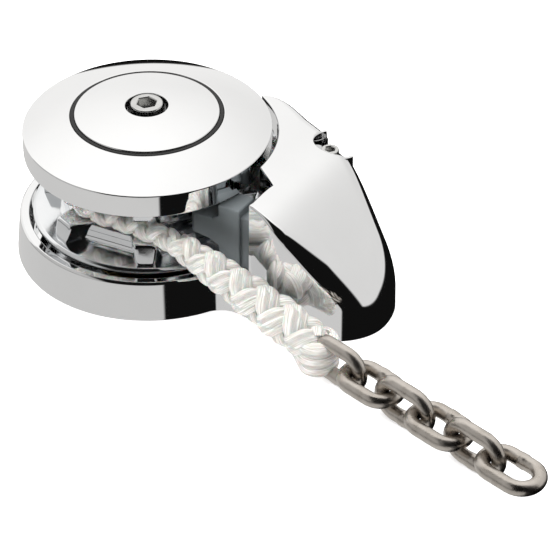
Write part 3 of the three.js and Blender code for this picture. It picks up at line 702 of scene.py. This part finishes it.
housingPiece = housing.build("housing_body")
with bpy.context.temp_override(active_object=housingPiece, selected_editable_objects=[housingPiece, shell]):
    bpy.ops.object.join()
finish(housingPiece, chrome, "base", "polished_chrome", "base_housing")


wheel = {
    "mid": 45.9, "flange": 65.9, "upperFlange": 63.5, "bottom": 23.8, "foot": 33.2, "core": 47.0, "hub": 39.0,
    "seat": 29.0, "bore": 14.0, "seatHeight": 37.3, "whelps": 7, "phase": math.radians(-58.6),
    "whelpFoot": 26.4, "reach": 61.8, "half": 7.0,
}


def wheelProfile(core):
    # One half's section, its mirror image about the groove's middle, and the two seats with the bore between.
    mid, flange, bottom = wheel["mid"], wheel["flange"], wheel["bottom"]
    lower = [
        (wheel["foot"], bottom, 0.2), (flange, bottom, 0.6), (flange, bottom + 2.3, 0.9),
        (flange - 1.7, bottom + 3.4, 1.5), (core + 1.5, 28.2, 3.0), (core, 33.8, 2.0),
        (core - 1.6, 35.9, 1.6), (wheel["hub"], 38.2, 1.5),
    ]
    upper = [(min(r, wheel["upperFlange"]) if r > 60 else r, 2 * mid - z, f) for r, z, f in lower[::-1]]
    seat, bore, low = wheel["seat"], wheel["bore"], wheel["seatHeight"]
    seats = [(seat, 2 * mid - low, 0.3), (bore, 2 * mid - low, 0.3), (bore, low, 0.3), (seat, low, 0.3)]
    return filleted(lower + upper + seats)


# The groove's core has a flat side at each pocket: r(a) = core / cos(a), a from the flat's middle.
angle = wholeTurn(336)
sector = 2 * np.pi / wheel["whelps"]
local = (angle - wheel["phase"]) % sector - sector / 2
corner = (1 / np.cos(local) - 1) / (1 / math.cos(sector / 2) - 1)
atMiddle, atCorner = wheelProfile(wheel["core"]), wheelProfile(wheel["core"] / math.cos(sector / 2))
profile = atMiddle[None] + (atCorner - atMiddle)[None] * corner[:, None, None]
wheelSurface = Surface().grid(np.stack([
    profile[..., 0] * np.cos(angle)[:, None], profile[..., 0] * np.sin(angle)[:, None], profile[..., 1],
], 2), closeRows=True, closeColumns=True)


bar = {
    "root": 43, "square": 0.32, "halfWidth": 9.4, "taper": 3.9, "flare": 0.30, "lean": 3.2,
    "round": (2.0, 1.9),  # outwards and sideways
}


def whelp(turn, low, high, upward):
    # A tapered bar that leans back from its foot: rounded section, drawn in towards its outer end.
    a = wholeTurn(48)
    cx = np.sign(np.cos(a)) * np.abs(np.cos(a)) ** bar["square"]
    cz = np.sign(np.sin(a)) * np.abs(np.sin(a)) ** bar["square"]
    tip, quarter = np.zeros(17), np.linspace(0, np.pi / 2, 9)
    s = np.concatenate([np.linspace(0, 1, 18)[:-1], np.ones(9)])[:, None]
    push = np.concatenate([tip, np.sin(quarter)])[:, None] * bar["round"][0]
    shrink = np.concatenate([tip, 1 - np.cos(quarter)])[:, None] * bar["round"][1]
    middle, half = (low + high) / 2, (high - low) / 2
    z = middle + cz[None] * (half - shrink)
    footed = np.clip((high - z if upward else z - low) / (high - low), 0, 1)
    halfWidth = (bar["halfWidth"] - bar["taper"] * s) * (1 + bar["flare"] * (1 - footed) * s) - shrink
    across = cx[None] * halfWidth
    r = bar["root"] + (wheel["reach"] - bar["round"][0] - bar["root"]) * s + push
    r = r - bar["lean"] * (1 - footed) * s ** 2
    c, d = math.cos(turn), math.sin(turn)
    return np.stack([r * c - across * d, r * d + across * c, z], 2)


for k in range(wheel["whelps"]):
    turn = wheel["phase"] + k * sector
    for low, high, upward in (
        (wheel["whelpFoot"], wheel["mid"] - wheel["half"], True),
        (wheel["mid"] + wheel["half"], 2 * wheel["mid"] - wheel["whelpFoot"], False),
    ):
        wheelSurface.grid(whelp(turn, low, high, upward), closeColumns=True, caps=True)
finish(wheelSurface.build("wheel_body", 50), wheelChrome, "wheel", "polished_chrome", "chainwheel")


cap = {
    "radius": 69.0, "rimTop": 78.0, "rimTopAt": 68.0, "rimBottom": 64.4, "skirt": 65.3, "dome": 91.9,
    "groove": 42.4, "ledge": 83.9, "bore": 16.4, "under": 79.7, "fillet": 0.7,
}
insert = {
    "radius": 40.0, "bottom": 84.2, "spigot": 16.1, "low": 77.0, "bore": 6.7, "socket": 11.8, "seat": 79.6,
}
# The dark ring in the groove round the insert, which paints the groove's shade: clearance, bottom, depth
# below the dish, edge radius.
shadeRing = {"clear": 0.15, "bottom": 84.3, "below": 0.45, "edge": 0.5}
domeFall = (cap["dome"] - cap["rimTop"]) / cap["rimTopAt"] ** 2


def domeHeight(r):
    # A shallow dish turned over: dome - k r^2.
    return cap["dome"] - domeFall * r * r


def domed(profile, steps):
    # The profile's long rising run gets more points, each lifted from the straight line to the dish.
    out = []
    for point, after in zip(profile, np.roll(profile, -1, 0)):
        out.append(point[None])
        if point[0] - after[0] > 15 and after[1] - point[1] > 1:
            r = np.linspace(point[0], after[0], steps)[1:-1]
            t = (point[0] - r) / (point[0] - after[0])
            ends = domeHeight(point[0]), domeHeight(after[0])
            line = point[1] + (after[1] - point[1]) * t
            out.append(np.stack([r, line + domeHeight(r) - (ends[0] + (ends[1] - ends[0]) * t)], 1))
    return np.concatenate(out)


def turnedPiece(name, profile, sides, material, slot, node):
    # A profile turned about the shaft's axis, as a piece that rises with the cap.
    surface = Surface().grid(lathe(profile, sides), closeRows=True, closeColumns=True)
    return finish(surface.build(name), material, "cap", slot, node)


radius, groove, edge = cap["radius"], cap["groove"], cap["fillet"]
bore, skirt, bottom = cap["bore"], cap["skirt"], cap["rimBottom"]
capProfile = filleted([
    (groove, cap["ledge"], 0.4), (bore, cap["ledge"], 0.2), (bore, cap["under"], 0.4),
    (34.0, cap["under"], 2.0), (62.3, 73.0, 3.0), (skirt, 70.0, 2.0), (skirt, bottom, 0.6),
    (radius, bottom, 0.8), (radius, domeHeight(radius) + 0.2, edge), (groove, domeHeight(groove), edge),
], 8)
turnedPiece("cap_ring", domed(capProfile, 42), 320, chrome, "polished_chrome", "clutch_cap")

radius, spigot, socket = insert["radius"], insert["spigot"], insert["socket"]
insertProfile = filleted([
    (insert["bore"], insert["low"], 0.3), (spigot, insert["low"], 0.4), (spigot, insert["bottom"], 0.3),
    (radius, insert["bottom"], 0.3), (radius, domeHeight(radius), edge), (socket, domeHeight(socket), 0.6),
    (socket, insert["seat"], 0.3), (insert["bore"], insert["seat"], 0.3),
], 8)
turnedPiece("insert_disc", domed(insertProfile, 32), 256, chrome, "polished_chrome", "cap_insert")

# Black ring raised nearly flush in the groove between cap and insert: painted shade, a dark piece that stands
# for the shade in that groove. It stands in for the insert_seal node.
shadeRingInner, shadeRingOuter = radius + shadeRing["clear"], groove - shadeRing["clear"]
shadeRingTop = domeHeight((shadeRingInner + shadeRingOuter) / 2) - shadeRing["below"]
shadeRingProfile = filleted([
    (shadeRingInner, shadeRing["bottom"], 0.2), (shadeRingOuter, shadeRing["bottom"], 0.2),
    (shadeRingOuter, shadeRingTop, shadeRing["edge"]), (shadeRingInner, shadeRingTop, shadeRing["edge"]),
])
turnedPiece("painted_shade_ring", shadeRingProfile, 256, blackRubber, "black_rubber", "insert_seal")


clutchScrew = {"head": 9.0, "headLow": 81.2, "headHigh": 93.0, "flats": 10.0, "deep": 6.0, "shank": 6.0,
               "shankLow": 50.2, "chamfer": 0.9}
pivotBolt = {"head": 5.0, "headLow": 64.9, "headHigh": 70.9, "flats": 5.0, "deep": 3.2, "shank": 3.0,
             "shankLow": 11.0, "chamfer": 0.6}


def socketScrew(size, centre):
    # Head with a hexagon socket, h(a) = flats/2 / cos(a mod 60 - 30), and a round shank below.
    a = wholeTurn(144)
    hexagon = size["flats"] / 2 / np.cos((a + math.radians(10)) % (np.pi / 3) - np.pi / 6)
    head, shank, chamfer = size["head"], size["shank"], size["chamfer"]
    low, high, shankLow = size["headLow"], size["headHigh"], size["shankLow"]
    rows = [
        (0, shankLow), (shank - 0.6, shankLow), (shank, shankLow + 0.6), (shank, low), (head - 0.2, low),
        (head, low + 0.3), (head, high - chamfer - 0.3), (head, high - chamfer),
        (head - chamfer * 0.3, high - chamfer * 0.3), (head - chamfer, high), (head - chamfer - 0.3, high),
        (hexagon + 0.75, high), (hexagon + 0.45, high), (hexagon, high - 0.45), (hexagon, high - 0.8),
        (hexagon, high - size["deep"]), (0, high - size["deep"] - size["flats"] * 0.16),
    ]
    points = np.stack([atHeight(np.array(centre) + (r + 0 * a)[:, None] * circle(a), z) for r, z in rows])
    return Surface().grid(points, closeColumns=True)


finish(socketScrew(clutchScrew, (0, 0)).build("clutch_bolt", 28), stainless, "screw", "stainless_steel",
       "clutch_screw")
finish(socketScrew(pivotBolt, boss["centre"]).build("pivot_bolt", 28), stainless, "base", "stainless_steel",
       "arm_pivot_bolt")


stripper = {
    "front": -26.0, "back": -10.0, "clear": 67.3, "right": 75.6, "top": 62.7, "foot": 26.4, "edge": 0.9,
    "finger": (38.6, 52.2),  # heights between which the finger reaches into the groove
    "tipAt": [-26, -23, -14, -10], "tip": [46, 43.4, 41.3, 41.3],
    "block": ((69.8, -24.0, 24.5), (85.8, -11.0, 58.0)),
}


def divided(outline, longest):
    # Points added along each straight side of a closed outline, so that they lie no further apart than that.
    step = np.roll(outline, -1, 0) - outline
    pieces = np.maximum(1, (np.linalg.norm(step, axis=1) / longest).astype(int))
    number = np.arange(pieces.sum()) - np.repeat(np.cumsum(pieces) - pieces, pieces)
    share = (number / np.repeat(pieces, pieces))[:, None]
    return np.repeat(outline, pieces, 0) + np.repeat(step, pieces, 0) * share


right, top, foot = stripper["right"], stripper["top"], stripper["foot"]
outline = divided(filleted([
    (36, 39.7, 0.5), (55.6, 38.1, 2.5), (59.1, 36.7, 2.0), (61.6, 32.7, 2.5), (66.6, foot, 1.0),
    (right, foot, 1.0), (right, top, 1.2), (62.2, top, 1.0), (61.5, 57.0, 1.5), (58.6, 52.5, 2.5),
    (36, 51.5, 0.5),
]), 1.5)
tangent = unit(np.roll(outline, -1, 0) - np.roll(outline, 1, 0))
normal = np.stack([-tangent[:, 1], tangent[:, 0]], 1)
quarter = np.linspace(np.pi / 2, 0, 6)
edgeInset = stripper["edge"] * (1 - np.cos(quarter))
edgeDepth = stripper["edge"] * (1 - np.sin(quarter))
sections = [(stripper["front"] + depth, inset) for depth, inset in zip(edgeDepth, edgeInset)]
sections += [(y, 0.0) for y in np.linspace(stripper["front"] + 1.6, stripper["back"] - 1.6, 14)]
sections += [(stripper["back"] - depth, inset) for depth, inset in zip(edgeDepth[::-1], edgeInset[::-1])]
low, high = stripper["finger"]
rows = []
for y, inset in sections:
    # Above and below the finger the block stands clear of the wheel: x at least sqrt(clear^2 - y^2).
    x, z = (outline + normal * inset).T
    tip = np.interp(y, stripper["tipAt"], stripper["tip"]) + inset
    clear = math.sqrt(stripper["clear"] ** 2 - y * y) + inset
    soft = np.clip(np.maximum(low + 0.3 - z, z - high + 0.2) / 3.0, 0, 1)
    x = np.maximum(x, tip)
    away = np.maximum(x, tip + (clear - tip) * np.where(soft >= 1, 1, np.sqrt(soft)))
    rows.append(np.stack([np.where((z > low) & (z < high) & (soft <= 0), x, away), np.full(len(x), y), z], 1))
stripperSurface = Surface().grid(np.array(rows), closeColumns=True, caps=True)


def roundedBlock(surface, low, high, radius=0.8):
    # Box whose edges are rounded: a rounded rectangle in x and y, drawn in at the top and the bottom.
    plan = filleted([(x, y, 1.2) for x, y in (low[:2], (high[0], low[1]), high[:2], (low[0], high[1]))])
    middle, half = (np.array(high[:2]) + low[:2]) / 2, (np.array(high[:2]) - low[:2]) / 2
    quarter = np.linspace(-np.pi / 2, 0, 6)
    stack = list(zip(low[2] + radius * (1 + np.sin(quarter)), radius * (1 - np.cos(quarter))))
    stack += [(high[2] - (z - low[2]), inset) for z, inset in stack[::-1]]
    points = [atHeight(middle + (plan - middle) * (1 - inset / half), z) for z, inset in stack]
    return surface.grid(np.array(points), closeColumns=True, caps=True)


roundedBlock(stripperSurface, *stripper["block"])
finish(stripperSurface.build("stripper_block", 40), greyPlastic, "base", "grey_plastic", "stripper")


finishes = {
    "polished_chrome": chrome, "stainless_steel": stainless, "bronze": bronze, "black_rubber": blackRubber,
    "grey_plastic": greyPlastic, "chain_steel": chainSteel, "white_nylon_rope": nylon,
}
slotOf = {row["node"]: row["material_slot"] for row in frame["record"]["subparts"]}
for name, node in frame["nodes"].items():
    node.data.materials.clear()
    node.data.materials.append(finishes[slotOf[name]])
    if not node.hide_render:
        node.data.polygons.foreach_set("use_smooth", np.ones(len(node.data.polygons), bool))
        node.data.set_sharp_from_angle(angle=math.radians(30))
print("kept", [n for n, o in frame["nodes"].items() if not o.hide_render])


def makeFloor(half, z, colour, glow):
    # A pale square that glows a little, and that the chrome doesn't mirror.
    corners = [(-half, -half, z), (half, -half, z), (half, half, z), (-half, half, z)]
    mesh = bpy.data.meshes.new("floor")
    mesh.from_pydata((np.array(corners) * mm).tolist(), [], [[0, 1, 2, 3]])
    sheet = bpy.data.objects.new("floor", mesh)
    scene.collection.objects.link(sheet)
    material, tree, shader = nodeMaterial("floor")
    shader.inputs["Base Color"].default_value = (*colour, 1)
    shader.inputs["Roughness"].default_value = 0.9
    shader.inputs["Specular IOR Level"].default_value = 0.0
    shader.inputs["Emission Color"].default_value = (1, 1, 1, 1)
    shader.inputs["Emission Strength"].default_value = glow
    mesh.materials.append(material)
    sheet.visible_glossy = False


makeFloor(9000, -0.2, (0.93, 0.93, 0.93), 0.62)
print("floor laid")

world = bpy.data.worlds.new("studio")
scene.world = world
world.use_nodes = True
tree = world.node_tree
background = tree.nodes["Background"]


def mathNode(operation, a, b):
    node = tree.nodes.new("ShaderNodeMath")
    node.operation = operation
    for socket, value in zip(node.inputs, (a, b)):
        if isinstance(value, (int, float)):
            socket.default_value = value
        else:
            tree.links.new(value, socket)
    return node.outputs[0]


def rangeNode(value, low, high, toLow, toHigh):
    # A soft step from toLow at low to toHigh at high.
    node = tree.nodes.new("ShaderNodeMapRange")
    node.interpolation_type = "SMOOTHSTEP"
    for name, number in (("From Min", low), ("From Max", high), ("To Min", toLow), ("To Max", toHigh)):
        node.inputs[name].default_value = number
    tree.links.new(value, node.inputs["Value"])
    return node.outputs["Result"]


# What the chrome mirrors: one large white softbox high up behind, black round the camera,
# and below the horizon a pale card that ends on the nose's side.
coords = tree.nodes.new("ShaderNodeTexCoord")
split = tree.nodes.new("ShaderNodeSeparateXYZ")
tree.links.new(coords.outputs["Generated"], split.inputs[0])
x, y, z = split.outputs


def along(azimuth, elevation):
    # How closely a direction points that way: 1 straight at it, 0 at right angles.
    a, e = math.radians(azimuth), math.radians(elevation)
    flat = mathNode("ADD", mathNode("MULTIPLY", x, math.cos(a) * math.cos(e)),
                    mathNode("MULTIPLY", y, math.sin(a) * math.cos(e)))
    return mathNode("ADD", flat, mathNode("MULTIPLY", z, math.sin(e)))


softbox = mathNode("MULTIPLY", rangeNode(along(100, 0), -0.03, 0.05, 0, 1), rangeNode(z, -0.12, -0.08, 0, 1))
shade = mathNode("MULTIPLY", rangeNode(along(31, 0), -0.10, 0.80, 1.07, 0.84),
                 rangeNode(z, 0.2, 0.9, 0.94, 1.14))
sideBox = mathNode("MULTIPLY", rangeNode(along(-155, 0), 0.42, 0.60, 0, 0.55), rangeNode(z, 0.0, 0.10, 0, 1))
above = mathNode("ADD", mathNode("MAXIMUM", mathNode("MULTIPLY", softbox, shade), sideBox), 0.006)
card = rangeNode(along(44, 0), -0.035, 0.005, 1, 0)
cardShade = rangeNode(z, -0.75, -0.15, 0.70, 0.56)
below = mathNode("ADD", mathNode("MULTIPLY", card, cardShade), 0.006)
isBelow = rangeNode(z, -0.12, -0.08, 1, 0)
sky = mathNode("ADD", mathNode("MULTIPLY", isBelow, below),
               mathNode("MULTIPLY", mathNode("SUBTRACT", 1.0, isBelow), above))
colour = tree.nodes.new("ShaderNodeCombineColor")
for socket, tint in zip(colour.inputs, (1.0, 0.99, 0.975)):
    tree.links.new(mathNode("MULTIPLY", sky, tint), socket)
tree.links.new(colour.outputs[0], background.inputs["Color"])
background.inputs["Strength"].default_value = 0.95


def softLight(name, place, size, power, towards=(0.05, 0, 0)):
    data = bpy.data.lights.new(name, "AREA")
    data.shape = "DISK"
    data.size = size
    data.energy = power
    made = bpy.data.objects.new(name, data)
    made.location = place
    made.rotation_euler = (Vector(towards) - Vector(place)).to_track_quat("-Z", "Y").to_euler()
    made.visible_glossy = False  # the chrome mirrors only the sky
    scene.collection.objects.link(made)


softLight("key", (-0.9, -0.8, 1.6), 1.0, 26)
softLight("fill", (1.2, -0.6, 1.3), 1.2, 12)
softLight("top", (0.0, 0.4, 2.0), 1.6, 20)
print("lights set")

scene.view_settings.view_transform = "Standard"
scene.view_settings.look = "None"
